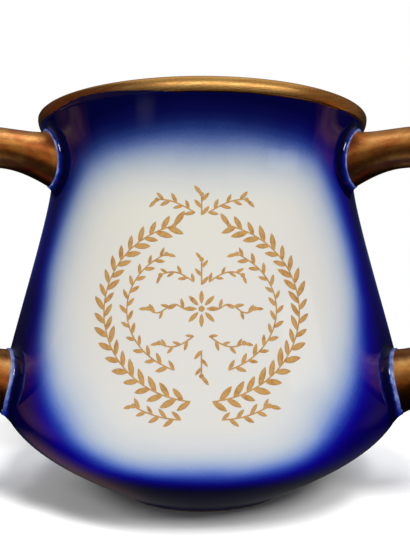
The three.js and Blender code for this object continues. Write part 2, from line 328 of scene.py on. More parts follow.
# %% World
ROOM_GLOW = (
    (-1.0, 0.001), (-0.1, 0.002), (0.0, 0.015), (0.34, 0.03), (0.6, 0.12), (0.86, 0.32), (1.0, 0.38))
FILL_GLOW = ((-1.0, 0.95), (-0.2, 0.66), (0.0, 0.54), (0.3, 0.48), (0.6, 0.36), (1.0, 0.30))
ROOM_BLUENESS = 1.05
scene = bpy.context.scene
scene.view_settings.view_transform = "Standard"
world = bpy.data.worlds.new("studio")
scene.world = world
world.use_nodes = True
open_tree(world.node_tree)
rays = add_node("ShaderNodeLightPath").outputs
upward = parts_of(take("Generated", "ShaderNodeTexCoord"))["Z"]
room = ramp_of(upward, [(z, (glow, glow, glow * ROOM_BLUENESS, 1)) for z, glow in ROOM_GLOW], -1, 1)
fill = ramp_of(upward, [(z, (glow, glow, glow, 1)) for z, glow in FILL_GLOW], -1, 1)
ambient = mix(rays["Is Glossy Ray"], fill, room)
seen = mix(rays["Is Camera Ray"], ambient, (1, 1, 1, 1))
sky = add_node("ShaderNodeBackground", {"Color": seen})
add_node("ShaderNodeOutputWorld", {"Surface": sky.outputs["Background"]})
world.cycles.sampling_method = "NONE"
print("the mirrored room glows from", ROOM_GLOW[0][1], "below to", ROOM_GLOW[-1][1], "overhead")

# %% [markdown]
# ## Lamps for each finish
# In the photograph the gold mirrors windows high at both sides and dimmer glows below them, and the
# glaze mirrors brown furniture low at the sides. Each group of lamps is linked to the pieces that
# mirror it, so one finish can be lit without changing the next. A lamp that fades toward its edges
# leaves no hard outline in the glaze. Fill lamps that nothing mirrors keep the reserve evenly lit.

# %% Lamps
WHITE = (1, 1, 1)
DAY_GLOW = (1.0, 1.30, 1.85)
EVENING_GLOW = (1.0, 0.90, 0.85)
LOW_GLOW = (1.0, 0.70, 0.50)
WOOD_GLOW = (1.0, 0.36, 0.22)
PALE_WOOD_GLOW = (1.0, 0.6, 0.5)
RED_WOOD_GLOW = (1.0, 0.42, 0.34)
CUP_MIDDLE, LIP_MIDDLE, LOWER_ROOTS = (0, 0, 0.06), (0, 0, 0.112), (0, 0, 0.035)


def add_lamp(name, place, size, power, colour=WHITE, aim=CUP_MIDDLE, mirrored=True, fills=True):
    """A rectangular lamp that looks at its aim: it may be mirrored, or fill, or both."""
    data = bpy.data.lights.new(name, "AREA")
    data.shape, data.size, data.size_y, data.energy, data.color = "RECTANGLE", *size, power, colour
    lamp = bpy.data.objects.new(name, data)
    lamp.location = place
    away = np.array(place) - np.array(aim)
    tilt = math.atan2(math.hypot(away[0], away[1]), away[2])
    lamp.rotation_euler = (tilt, 0, math.atan2(away[0], -away[1]))
    lamp.visible_camera = False
    lamp.visible_glossy = mirrored
    lamp.visible_diffuse = fills
    bpy.context.collection.objects.link(lamp)
    return lamp


def soften(lamp):
    """Lets a lamp fade toward its edges, so that its mirror image has no hard outline."""
    lamp.data.use_nodes = True
    open_tree(lamp.data.node_tree)
    shares = parts_of(take("Parametric", "ShaderNodeNewGeometry"))
    across, upward = (calc("SINE", times(shares[axis], math.pi)) for axis in "XY")
    light = add_node("ShaderNodeEmission", {"Strength": times(across, upward)})
    add_node("ShaderNodeOutputLight", {"Surface": light.outputs["Emission"]})


def light_only(lamp, *pieces):
    """Lets this lamp light these pieces alone."""
    lit = bpy.data.collections.new(lamp.name + "_lights")
    for piece in pieces:
        lit.objects.link(piece)
    lamp.light_linking.receiver_collection = lit


gold_lamps = [add_lamp(*facts) for facts in (
    ("window_left", (-0.33, -0.17, 0.71), (0.34, 0.40), 0.48, DAY_GLOW),
    ("window_right", (0.30, -0.13, 0.74), (0.30, 0.42), 0.80, DAY_GLOW),
    ("mid_glow_left", (-0.31, -0.40, 0.36), (0.20, 0.26), 0.13, EVENING_GLOW),
    ("mid_glow_right", (0.31, -0.40, 0.36), (0.20, 0.26), 0.20, EVENING_GLOW),
    ("low_glow_left", (-0.24, -0.55, 0.03), (0.18, 0.30), 0.05, LOW_GLOW, LOWER_ROOTS),
    ("low_glow_right", (0.24, -0.55, 0.03), (0.18, 0.30), 0.14, LOW_GLOW, LOWER_ROOTS))]
glaze_lamps = [add_lamp(*facts, fills=False) for facts in (
    ("far_window", (0.44, -0.29, 0.20), (0.22, 0.13), 0.07),
    ("board_left", (-0.50, 0.085, -0.15), (0.30, 0.62), 0.15, WOOD_GLOW, (0, 0.085, -0.15)),
    ("board_right", (0.50, 0.12, -0.10), (0.30, 0.36), 0.028, PALE_WOOD_GLOW, (0, 0.12, -0.10)),
    ("board_low", (-0.25, 0.315, -0.24), (0.36, 0.36), 0.056, RED_WOOD_GLOW, (-0.25, 0.315, 0)),
    ("table_glow", (0.0, 0.40, -0.20), (0.80, 0.62), 0.080, WHITE, (0, 0.40, 0)),
    ("round_glow", (-0.314, -0.422, -0.038), (0.14, 0.24), 0.026, WHITE, (-0.014, -0.047, 0.107)))]
for lamp in glaze_lamps[1:]:
    soften(lamp)
spark = add_lamp("spark", (0.02, -0.45, 0.36), (0.07, 0.16), 1.1, fills=False)
cup_lamps = [add_lamp(*facts, mirrored=False) for facts in (
    ("overhead_fill", (0, -0.2, 0.9), (0.9, 0.9), 3.5),
    ("front_fill_left", (-0.55, -0.75, 0.10), (0.6, 0.5), 2.1),
    ("front_fill_right", (0.60, -0.70, 0.10), (0.6, 0.5), 2.15),
    ("back_fill", (0.0, 0.9, 0.40), (0.7, 0.5), 4.0))]
print("lamps for the gold:", len(gold_lamps), "for the glaze:", len(glaze_lamps), "fills:", len(cup_lamps))

# %% [markdown]
# ## The floor and its shadow
# The cup stands on a pale board that melts into the white behind it. Its shadow is soft and lies to
# all sides, as several windows draw it, so four small lamps light the floor alone, each given by its
# turn round the cup, its rise in degrees and its power. The floor itself is never mirrored.

# %% Floor
FLOOR_LIGHT = ((15, 50, 7.5), (30, 38, 5.1), (-45, 38, 2.15), (-30, 62, 2.4))
FLOOR_LIGHT_REACH, FLOOR_LIGHT_SIZE = 0.9, (0.2, 0.2)
FLOOR_HALF = 1.2
floor_mesh = bpy.data.meshes.new("floor")
floor_mesh.from_pydata([(x * FLOOR_HALF, y * FLOOR_HALF, 0) for x, y in ((-1, -1), (1, -1), (1, 1), (-1, 1))],
                       [], [(0, 1, 2, 3)])
floor = bpy.data.objects.new("floor", floor_mesh)
bpy.context.collection.objects.link(floor)
floor.visible_glossy = floor.visible_diffuse = floor.visible_shadow = False
for turn, rise, power in FLOOR_LIGHT:
    level, height = (FLOOR_LIGHT_REACH * f(math.radians(rise)) for f in (math.cos, math.sin))
    place = (level * math.sin(math.radians(turn)), -level * math.cos(math.radians(turn)), height)
    light_only(add_lamp(f"floor_light_{rise}_{turn}", place, FLOOR_LIGHT_SIZE, power, aim=(0, 0, 0),
                        mirrored=False), floor)
print("floor:", 2 * FLOOR_HALF, "m square, lit by", len(FLOOR_LIGHT), "lamps")

# %% [markdown]
# ## Materials by hand
# Every finish here is worked out by nodes from the place on the cup, so it needs no pictures, shows
# no seam and keeps its real scale. `paint` turns the colours that one reads off a screen into the
# linear numbers that shaders use, and sizes of patterns are in millimetres.

# %% Helpers for materials


def paint(red, green, blue):
    """A screen colour from 0 to 255 as a linear colour."""
    shares = (v / 255 for v in (red, green, blue))
    return tuple(((v + 0.055) / 1.055) ** 2.4 if v > 0.0393 else v / 12.92 for v in shares) + (1,)


def painted(stops):
    """Colour stops, each given as a value and a screen colour."""
    return [(value, paint(*colour)) for value, *colour in stops]


def new_finish(name, roughness, metallic=0.0):
    """A new material and its shader, with the values that are the same all over."""
    material = bpy.data.materials.new(name)
    material.use_nodes = True
    open_tree(material.node_tree)
    shader = add_node("ShaderNodeBsdfPrincipled", {"Roughness": roughness, "Metallic": metallic})
    add_node("ShaderNodeOutputMaterial", {"Surface": shader.outputs["BSDF"]})
    return material, shader


def feed(shader, **sockets):
    """Feeds the shader's inputs: an underscore in a name stands for a space."""
    for name, socket in sockets.items():
        link(socket, shader.inputs[name.replace("_", " ")])


def on_surface():
    """The place on the cup in millimetres."""
    return vector_calc("SCALE", take("Object", "ShaderNodeTexCoord"), scale=1 / MM)


def stored(name, output="Fac"):
    """A value or vector that the piece carries under this name."""
    return add_node("ShaderNodeAttribute", attribute_name=name).outputs[output]


def noise(place, size, detail=2.0, distortion=0.0):
    """Soft noise from 0 to 1, with features of about this size."""
    return take("Fac", "ShaderNodeTexNoise", {
        "Vector": place, "Scale": 1 / size, "Detail": detail, "Distortion": distortion})


def waver(place, size, amount, detail=2.0, middle=0.0):
    """Noise of this size that strays from its middle by up to half this amount."""
    return times_plus(noise(place, size, detail), amount, middle - amount / 2)


def step_up(value, start, end):
    """Rises softly from 0 to 1 as the value goes from start to end."""
    return take("Result", "ShaderNodeMapRange", {
        "Value": value, "From Min": start, "From Max": end}, interpolation_type="SMOOTHSTEP")


def set_bump(shader, height, strength, distance):
    """Gives the shader a fine relief, whose distance is in metres."""
    bump = add_node("ShaderNodeBump", {"Height": height, "Strength": strength, "Distance": distance})
    feed(shader, Normal=bump.outputs["Normal"])


# %% Floor finish
FLOOR_FADE, FLOOR_WHITE = (180, 420), (0.90, 0.90, 0.90, 1)
board, shader = new_finish("pale_board", 0.8)
shader.inputs["Base Color"].default_value = FLOOR_WHITE
reach = vector_calc("LENGTH", on_surface())
feed(shader, Alpha=mix(step_up(reach, *FLOOR_FADE), 1.0, 0.0, "FLOAT"))
floor_mesh.materials.append(board)
print("floor fades out from", FLOOR_FADE[0], "to", FLOOR_FADE[1], "mm")

# %% [markdown]
# ## Sprayed cobalt
# The blue is sprayed on round a stencil held off the cup, so it fades into the white over ten
# millimetres or so. A painted map could hold it, but a rule keeps the fade's width right everywhere.
# The finish measures, at each place, how far it lies inside the reserve's outline: the angle round
# the cup is folded so that all three fields between the handles get the same reserve, and a curve
# gives the outline's reach in each direction from the reserve's middle. Under the belly the wall
# turns in, so heights there are stretched to keep the fade's real width. Each stencil hung a little
# askew, so its lower part lies to the left.
# That depth, roughened by the drift and the grain of the spray, picks the colour: a navy near the
# lip, partly painted shade under the lip's overhang, and a brighter and more violet blue low down,
# where the glaze is thicker, and to the right and the sides, which is painted light, as the left
# side lies in shade. The underside is painted near black as the shade under the belly, and a patch
# low down at the cup's left is painted darker as shade.

# %% Airbrushed glaze
FIELD_TURN = math.radians(60)
RESERVE_HEIGHT = 58.0
REACH_SCALE = 60.0
RESERVE_REACH = (
    (0, 41.0), (10, 41.6), (22, 43.9), (33, 47.3), (44, 49.3), (56, 48.4), (70, 47.1), (89, 46.1),
    (114, 44.5), (128, 42.7), (138.6, 43.6), (149.4, 44.0), (165, 42.2), (173.5, 41.1), (180, 40.8))
ASKEW = {"From Min": 72, "From Max": 38, "To Min": -0.2, "To Max": 1.1}
TUCK_HEIGHT, TUCK_STRETCH = 28.0, 0.35
SPRAY_ENDS = (-16, 18)
HIGH_SPRAY = painted((
    (-16, 3, 4, 46), (-10, 4, 4, 54), (-7, 8, 11, 69), (-5, 16, 26, 86), (-3, 33, 52, 114),
    (-1.5, 58, 78, 137), (0, 87, 106, 158), (1.5, 119, 136, 176), (3, 143, 157, 186),
    (5, 169, 180, 195), (7, 188, 195, 202),
    (10, 208, 210, 208), (14, 220, 220, 212), (18, 226, 224, 211)))
LOW_SPRAY = painted((
    (-16, 6, 0, 78), (-10, 10, 1, 106), (-7, 13, 4, 134), (-5, 17, 22, 150), (-3, 36, 56, 166),
    (-1.5, 60, 84, 182), (0, 92, 117, 198), (1.5, 120, 144, 208), (3, 148, 169, 214), (5, 174, 188, 216),
    (7, 193, 204, 219), (10, 210, 215, 221), (14, 220, 222, 222), (18, 226, 224, 218)))
DRIFT, GRAIN = (14, 2.4), (0.45, 1.2, 3)
LOW_SHARPER, LOW_WIDER = 1.15, 0.3
# Painted light: the blend leans to the brighter blue at the right and the sides, as if the left side lay in
# shade.
LIGHTER_RIGHTWARD, LIGHTER_SIDEWARD = -0.35, -0.50
LOW_TO_HIGH = (38, 96)
# Painted shade: the underside turns near black where the belly turns under.
UNDERSIDE_SHADE_TO_WALL, UNDERSIDE_SHADE_BLUE = (11.5, 19.5), paint(5, 5, 34)
# Painted shade: a patch low down at the cup's left is darkened as if it lay in shade.
LEFT_SHADE_ZONE = {"X": (-36, -46), "Z": (74, 56), "Y": (-4, -16)}
LEFT_SHADE_STRENGTH, LEFT_SHADE_BLUE = 0.55, paint(8, 2, 36)


def reserve_depth(at):
    """How far a place lies inside the nearest reserve, below zero outside it, and how far to its right."""
    turn = calc("ARCTAN2", at["X"], times(at["Y"], -1))
    folded = calc("WRAP", turn, FIELD_TURN, -FIELD_TURN)
    radius = vector_calc("LENGTH", vector_of(at["X"], at["Y"]))
    slant = take("Result", "ShaderNodeMapRange", {"Value": at["Z"], **ASKEW})
    askew = times_plus(folded, radius, slant)
    across = calc("ABSOLUTE", askew)
    tucked = calc("MINIMUM", plus(at["Z"], -TUCK_HEIGHT), 0)
    rise = times_plus(tucked, TUCK_STRETCH, plus(at["Z"], -RESERVE_HEIGHT))
    direction = calc("ARCTAN2", across, rise)
    curve = add_node("ShaderNodeFloatCurve", {"Value": calc("DIVIDE", direction, math.pi)})
    points = curve.mapping.curves[0].points
    stops = [(angle / 180, reach / REACH_SCALE) for angle, reach in RESERVE_REACH]
    points[0].location, points[-1].location = stops[0], stops[-1]
    for stop in stops[1:-1]:
        points.new(*stop)
    curve.mapping.update()
    distance = vector_calc("LENGTH", vector_of(across, rise))
    return times_plus(curve.outputs["Value"], REACH_SCALE, times(distance, -1)), askew


cobalt, shader = new_finish("airbrushed_cobalt", 0.07)
place = on_surface()
at = parts_of(place)
depth, across = reserve_depth(at)
sprayed = plus(depth, plus(waver(place, *DRIFT), waver(place, *GRAIN)))
high_blue = ramp_of(sprayed, HIGH_SPRAY, *SPRAY_ENDS)
low_blue = ramp_of(times_plus(sprayed, LOW_SHARPER, LOW_WIDER), LOW_SPRAY, *SPRAY_ENDS)
# Higher up the blend leans to the navy, partly thicker glaze low down and partly painted shade under the lip;
# to the right and the sides it leans to the brighter blue, which is painted light.
navy_by_shade_and_glaze = plus(times_plus(across, LIGHTER_RIGHTWARD, at["Z"]),
                times(calc("ABSOLUTE", across), LIGHTER_SIDEWARD))
colour = mix(step_up(navy_by_shade_and_glaze, *LOW_TO_HIGH), low_blue, high_blue)
# Painted shade: near black below the belly, where the wall turns in towards the foot.
colour = mix(step_up(at["Z"], *UNDERSIDE_SHADE_TO_WALL), UNDERSIDE_SHADE_BLUE, colour)
# Painted shade: the lower left of the wall is mixed towards a dark blue.
left_shade = LEFT_SHADE_STRENGTH
for axis, ends in LEFT_SHADE_ZONE.items():
    left_shade = times(step_up(at[axis], *ends), left_shade)
colour = mix(left_shade, colour, LEFT_SHADE_BLUE)
print("sprayed edge fades over", SPRAY_ENDS[1] - SPRAY_ENDS[0], "mm, outside and inside together")

# %% [markdown]
# ## Kiln specks and the lip's painted edge
# A few dark specks burn into any glaze: cells of a Voronoi pattern hold one each, and most are left
# empty. The gold of the lip runs down over the glaze to an edge that the brush drew by hand, a little
# higher at the cup's left, so the body's finish turns to gold above that edge.

# %% Specks and gold on the body
SPECK_SPACING, SPECK_RADIUS, SPECK_RARITY, SPECK_STRENGTH = 7.0, 0.035, 0.93, 0.6
SPECK_BROWN, LIP_GOLD = paint(112, 104, 96), paint(196, 132, 66)
GILT_DROP, GILT_EDGE = 0.4, (2.6, 0.8, 3)
GILT_CLIMBS = ((1, 28, 1.75), (30, 42, -1.1))
GLAZE_TO_GILT = (0.07, 0.34)
GLAZE_RIPPLE = (0.05, 0.0002)


def gilt_above(place):
    """One where the lip's gold lies: above an uneven edge that climbs toward the left, and dips again."""
    at = parts_of(place)
    leftward = times(at["X"], -1)
    edge = waver(place, *GILT_EDGE, SEAT_HEIGHT - GILT_DROP)
    for start, end, climb in GILT_CLIMBS:
        edge = times_plus(step_up(leftward, start, end), climb, edge)
    return calc("GREATER_THAN", at["Z"], edge)


cell = add_node("ShaderNodeTexVoronoi", {"Vector": place, "Scale": 1 / SPECK_SPACING}).outputs
near = calc("LESS_THAN", cell["Distance"], SPECK_RADIUS)
chance = take("Red", "ShaderNodeSeparateColor", {"Color": cell["Color"]})
speck = times(times(near, calc("GREATER_THAN", chance, SPECK_RARITY)), SPECK_STRENGTH)
colour = mix(speck, colour, SPECK_BROWN)
gold_share = gilt_above(place)
feed(shader, Base_Color=mix(gold_share, colour, LIP_GOLD), Metallic=gold_share,
     Roughness=mix(gold_share, *GLAZE_TO_GILT, "FLOAT"))
set_bump(shader, noise(place, 3.0), *GLAZE_RIPPLE)
print("specks:", round((1 - SPECK_RARITY) * 100), "in 100 cells of", SPECK_SPACING, "mm")

# %% [markdown]
# ## White glaze inside
# Inside, the cup has only its clear glaze over white clay: two close whites in soft clouds, and the
# faint ripple that keeps a real glaze from looking like plastic.

# %% Plain white glaze
white, shader = new_finish("white_glaze", 0.09)
place = on_surface()
feed(shader, Base_Color=mix(noise(place, 12), paint(222, 219, 208), paint(230, 227, 218)))
set_bump(shader, noise(place, 3.5), *GLAZE_RIPPLE)
print("finishes so far:", ", ".join(m.name for m in (board, cobalt, white)))

# %% [markdown]
# ## Gilding
# The gold is brushed on and burnished, so it keeps fine streaks along the brush's way, thin coppery
# patches and darker pits. Streaks drawn in the cup's own X, Y and Z would run straight through a bent
# handle, so each gilded piece carries an attribute, `brush`, that unrolls its surface: two
# directions across the brush and one along it, in millimetres. Noise drawn out along the third
# gives the streaks. The gold ends in an uneven edge, and the glaze shows beyond it.

# %% Gold finish
HAIR_SIZE, PATCH_SIZE, PIT_SIZE = 0.35, 5.0, 0.6
BRIGHT_TONE, WORN_PITS, WORN_BROWN = (0.38, 0.68), (0.60, 0.78), paint(110, 62, 30)
HAIR_SHARE, PATCH_SHARE, HAIR_RELIEF, RELIEF_DEPTH = 0.25, 0.8, 0.6, 0.00012
PIT_ROUGHNESS, BARE_ROUGHNESS = 0.16, 0.08
ROOT_EDGE, BARE_PATCHES = (1.7, 1.3, 3), (0.4, 0.65)
BARE_DARK, BARE_PALE, BARE_AT_LIP = paint(28, 44, 150), paint(124, 148, 206), paint(14, 10, 40)


def gilding(name, bright, copper, roughness, streak, relief, wear, bare_below=None):
    """A burnished gold with streaks of this length, bare below this height over a root or below the lip."""
    material, shader = new_finish(name, roughness, metallic=1.0)
    place, way = on_surface(), stored("brush", "Vector")
    hair = noise(vector_calc("MULTIPLY", way, (1, 1, 1 / streak)), HAIR_SIZE, 3)
    patches, pits = noise(way, PATCH_SIZE, 4, 0.6), noise(way, PIT_SIZE, 4)
    tone = step_up(times_plus(hair, HAIR_SHARE, times(patches, PATCH_SHARE)), *BRIGHT_TONE)
    worn = times(step_up(pits, *WORN_PITS), wear)
    leaf = mix(worn, mix(tone, copper, bright), WORN_BROWN)
    if bare_below is None:
        radius = vector_calc("LENGTH", vector_calc("MULTIPLY", place, (1, 1, 0)))
        gold = calc("MAXIMUM", gilt_above(place), calc("LESS_THAN", radius, LIP_CROWN_RADIUS))
        bare = BARE_AT_LIP
    else:
        gold = calc("GREATER_THAN", stored("root"), waver(place, *ROOT_EDGE, bare_below))
        bare = mix(step_up(noise(place, 2.4), *BARE_PATCHES), BARE_DARK, BARE_PALE)
    rough = times_plus(pits, PIT_ROUGHNESS, roughness - PIT_ROUGHNESS / 2)
    feed(shader, Metallic=gold, Base_Color=mix(gold, bare, leaf),
         Roughness=mix(gold, BARE_ROUGHNESS, rough, "FLOAT"))
    set_bump(shader, plus(times(hair, HAIR_RELIEF), pits), relief, RELIEF_DEPTH)
    print(f"{name}: streaks {streak:.0f} mm long, roughness about {roughness}")
    return material


handle_gold = gilding("antique_gold", bright=paint(242, 170, 86), copper=paint(212, 122, 62),
                      roughness=0.36, streak=12.0, relief=0.30, wear=0.40, bare_below=2.15)
rim_gold = gilding("burnished_lip_gold", bright=paint(250, 200, 116), copper=paint(220, 150, 82),
                   roughness=0.31, streak=14.0, relief=0.06, wear=0.15)

# %% [markdown]
# ## Turning on the wheel
# A turned piece is its profile carried round the axis. Blender's Screw modifier does that too, but
# it leaves no brush directions behind. The tree takes the profile as a line of points, lays out a
# grid with one row for each point and one column for each step of the turn, and moves every grid
# point to its profile point, turned by its share of the circle. The seam is then merged. A grid
# keeps the profile's own spacing, so tight edges stay tight.

# %% Helpers for the grid trees
MERGE_DISTANCE = 1e-6


def grid_places(rows, around):
    """A grid of one row a station and one column a step round, each point's row, and its angle."""
    columns = plus(around, 1)
    grid = add_node("GeometryNodeMeshGrid", {"Vertices X": rows, "Vertices Y": columns})
    index = take("Index", "GeometryNodeInputIndex")
    row = calc("FLOOR", calc("DIVIDE", plus(index, 0.5), columns))
    column = calc("SUBTRACT", index, times(row, columns))
    return grid, row, times(calc("DIVIDE", column, around), 2 * math.pi)


def point_count(geometry):
    """The number of points of the line."""
    return take("Point Count", "GeometryNodeAttributeDomainSize", {"Geometry": geometry})


def place_of():
    """Where each point is."""
    return take("Position", "GeometryNodeInputPosition")


def named_value(name, kind="FLOAT"):
    """A value that is stored on the mesh."""
    return take("Attribute", "GeometryNodeInputNamedAttribute", {"Name": name}, data_type=kind)


def of_station(line, value, row, kind="FLOAT"):
    """A value of the line's point that belongs to this row."""
    return take("Value", "GeometryNodeSampleIndex", {"Geometry": line, "Value": value, "Index": row},
                data_type=kind, domain="POINT")


def after(geometry, kind, feeds=None, **settings):
    """The geometry as it leaves one more node."""
    return take("Geometry", kind, {"Geometry": geometry, **(feeds or {})}, **settings)


def store(geometry, name, value, kind="FLOAT", domain="POINT"):
    """Keeps a value on the mesh under a name."""
    return after(geometry, "GeometryNodeStoreNamedAttribute", {"Name": name, "Value": value},
                 data_type=kind, domain=domain)


def moved(geometry, place):
    """The geometry with its points set to these places."""
    return after(geometry, "GeometryNodeSetPosition", {"Position": place})


def closed_skin(geometry):
    """Merges the seam and poles and shades the skin smoothly."""
    merged = after(geometry, "GeometryNodeMergeByDistance", {"Distance": MERGE_DISTANCE})
    return after(after(merged, "GeometryNodeSetShadeSmooth"), "GeometryNodeRealizeInstances")


def coated(geometry, finish, selection=True):
    """The geometry, or the selected faces of it, in this finish."""
    return after(geometry, "GeometryNodeSetMaterial", {"Selection": selection, "Material": finish})


def turned_about_z(vector, angle):
    """The vector turned round the cup's axis."""
    return take("Vector", "ShaderNodeVectorRotate", {"Vector": vector, "Angle": angle},
                rotation_type="Z_AXIS")


# %% Lathe tree
TURN_STEPS = 240
NO_INNER_ROW = 100000
lathe, given, result = new_tree("potter_wheel", {
    "Turns": ("Int", TURN_STEPS), "Inner Row": ("Int", NO_INNER_ROW),
    "Glaze": ("Material", None), "Inner Glaze": ("Material", None)})
grid, row, angle = grid_places(point_count(given["Geometry"]), given["Turns"])
profile_point = of_station(given["Geometry"], place_of(), row, "FLOAT_VECTOR")
along_profile = of_station(given["Geometry"], named_value("run"), row)
placed = moved(grid.outputs["Mesh"], turned_about_z(profile_point, angle))
radius = times(parts_of(profile_point)["X"], 1 / MM)
brush = vector_of(along_profile, radius, times(angle, LIP_RADIUS))
placed = store(placed, "brush", brush, "FLOAT_VECTOR", "CORNER")
placed = store(placed, "station", row)
placed = store(placed, "UVMap", grid.outputs["UV Map"], "FLOAT2", "CORNER")
glazed = coated(closed_skin(placed), given["Glaze"])
inside = calc("GREATER_THAN", named_value("station"), given["Inner Row"])
link(coated(glazed, given["Inner Glaze"], inside), result["Geometry"])
print(lathe.name, "has", len(lathe.nodes), "nodes")


def chain(count, first=0):
    """The edges that join this many points in a row."""
    return [(i, i + 1) for i in range(first, first + count - 1)]


def profile_mesh(name, profile):
    """A profile of radius and height in millimetres as a line of points, with the length run so far."""
    points = np.array(profile, float)
    mesh = bpy.data.meshes.new(name)
    mesh.from_pydata([(r * MM, 0, z * MM) for r, z in points], chain(len(points)), [])
    run = np.concatenate([[0], np.cumsum(np.linalg.norm(np.diff(points, axis=0), axis=1))])
    mesh.attributes.new("run", "FLOAT", "POINT").data.foreach_set("value", run)
    return mesh


def turned(name, profile, finish, inner_from=NO_INNER_ROW, inner_finish=None, turns=TURN_STEPS):
    """A piece turned from its profile."""
    return grown(name, profile_mesh(name + "_profile", profile), lathe, {
        "Turns": turns, "Inner Row": inner_from, "Glaze": finish, "Inner Glaze": inner_finish or finish})


# %% [markdown]
# ## The body
# One closed profile: from the middle of the underside out to the foot, up the outside, over the
# seat of the lip, down the inside and across the floor. The white glaze starts where the profile
# turns inwards. A bevel would round its corners too, but two close points keep each one crisp.

# %% Turn the body
EDGE = 0.04
SEAT_ROWS = 6
UNDER_CORNERS = {2, 3, 4}


def with_eased_corners(profile, corners):
    """The profile with these corners as two close points, so that smooth shading stays on its side."""
    result = []
    for i, point in enumerate(profile):
        if i in corners:
            corner = np.array(point, float)
            for other in (profile[i - 1], profile[i + 1]):
                towards = np.array(other, float) - corner
                result.append(tuple(corner + EDGE * (towards / np.linalg.norm(towards))))
        else:
            result.append(tuple(point))
    return result


floor_height = UNDERSIDE_HEIGHT + BASE_THICKNESS
pad = FOOT_INNER_RADIUS - FOOT_GAP
inner_wall = [(inner_radius(z), float(z)) for z in np.linspace(SEAT_HEIGHT, floor_height + FLOOR_RISE, 90)]
wall_end, corner = inner_wall[-1], (inner_radius(floor_height), floor_height)
floor_sweep = [((1 - t) ** 2 * wall_end[0] + 2 * (1 - t) * t * corner[0],
                (1 - t) ** 2 * wall_end[1] + 2 * (1 - t) * t * corner[1] + t * t * floor_height)
               for t in np.linspace(0, 1, 40)[1:]]
under = [(0, UNDERSIDE_HEIGHT), (pad * 0.5, UNDERSIDE_HEIGHT), (pad, UNDERSIDE_HEIGHT), (pad, FOOT_HEIGHT)]
profile = under + [tuple(p) for p in outline] + inner_wall + floor_sweep
seat_row = len(under) + len(outline) - 1
body_profile = with_eased_corners(profile, UNDER_CORNERS | {seat_row, seat_row + 1})
bowl = turned("glazed_body", body_profile, cobalt, seat_row + SEAT_ROWS, white)

# %% [markdown]
# ## The lip
# The lip is the rounded top of the wall under a coat of gold. Its profile leaves the body on the
# same slope, stands upright at its widest place, goes over a flat crown and comes down the inside,
# where the gold ends. A low strip of light in front draws the bright streak along its face, and
# dim glows in front, above and at the sides give the gold the rest of its room. They are linked to
# the lip alone, because the glaze beside it mirrors no such lights.

# %% Turn the gilt lip
LIP_PULL, CROWN_PULL = 0.4, 0.6


def lip_outline(count=14):
    """The lip's section: from its seat to its widest place, over the crown and down the inside."""
    seat, inner = (SEAT_RADIUS, SEAT_HEIGHT), (inner_radius(SEAT_HEIGHT), SEAT_HEIGHT)
    edge, crown = (LIP_RADIUS, LIP_EDGE_HEIGHT), (LIP_CROWN_RADIUS, CUP_HEIGHT)
    face, inside = (edge[1] - SEAT_HEIGHT) * LIP_PULL, (CUP_HEIGHT - SEAT_HEIGHT) * LIP_PULL
    rise, inset = (CUP_HEIGHT - edge[1]) * CROWN_PULL, (edge[0] - crown[0]) * CROWN_PULL
    outer = bezier([seat, up_the_lip(seat, face), (edge[0], edge[1] - face), edge], count)
    over = bezier([edge, (edge[0], edge[1] + rise), (crown[0] + inset, crown[1]), crown], count)
    down = bezier([crown, (crown[0] - inside, crown[1]), up_the_lip(inner, inside), inner], count)
    return np.concatenate([outer, over[1:], down[1:]])


rim_profile = [(inner_radius(SEAT_HEIGHT), SEAT_HEIGHT)] + [tuple(p) for p in lip_outline()]
rim = turned("gilt_lip", rim_profile, rim_gold)
lip_lamps = [add_lamp(*facts, aim=LIP_MIDDLE) for facts in (
    ("lip_strip", (0.07, -0.30, 0.064), (0.50, 0.055), 0.21),
    ("lip_front_glow", (0.03, -0.42, 0.03), (1.30, 0.22), 0.22),
    ("lip_top_glow", (0.08, -0.36, 0.48), (1.40, 0.66), 1.45),
    ("lip_side_left", (-0.50, -0.05, 0.12), (0.80, 0.44), 0.07, WOOD_GLOW),
    ("lip_side_right", (0.50, -0.05, 0.12), (0.80, 0.44), 0.16, LOW_GLOW))]

# %% [markdown]
# ## The foot
# A low ring lifts the base off the table. Its bottom edge is wiped clean of glaze, and the bare clay
# there is painted dark brown as the shade it stands in under the cup. The ring is turned like the
# body, and one height tells its finish where the glaze ends.

# %% Foot finish and ring
# Painted shade: the bare clay of the standing edge is darkened as if in the shadow under the cup.
WIPED_EDGE, SHADED_BARE_CLAY, FOOT_BLUE = (0.55, 0.95), paint(40, 27, 19), paint(22, 22, 44)
foot_glaze, shader = new_finish("foot_glaze", 0.14)
place = on_surface()
glazed_share = step_up(times_plus(noise(place, 1.6), 0.5, parts_of(place)["Z"]), *WIPED_EDGE)
feed(shader, Base_Color=mix(glazed_share, SHADED_BARE_CLAY, FOOT_BLUE))
set_bump(shader, noise(place, 0.6), 0.1, 0.0001)
foot_profile = [
    (FOOT_INNER_RADIUS + FOOT_EDGE, 0), (FOOT_RADIUS - FOOT_EDGE, 0), (FOOT_RADIUS, FOOT_EDGE),
    ((FOOT_RADIUS + FOOT_TOP_RADIUS) / 2, FOOT_HEIGHT - FOOT_EDGE), (FOOT_TOP_RADIUS, FOOT_HEIGHT),
    (FOOT_INNER_RADIUS, FOOT_HEIGHT), (FOOT_INNER_RADIUS, FOOT_EDGE), (FOOT_INNER_RADIUS + FOOT_EDGE, 0)]
foot = turned("foot", with_eased_corners(foot_profile, {1, 2, 3, 4, 5, 6}), foot_glaze)

# %% [markdown]
# ## Pulled handles
# A handle is pulled from a roll of clay: thick where it springs from the body, slimmer at the
# grip. A bevelled curve would give the bend, but not ends that lie on a double-curved wall. So its
# centre line is two Bezier curves that meet at the outermost point, and its section is an oval that
# spreads towards both roots. Near a root the ovals lean over until they lie on the wall, as clay
# does when it is pressed on.

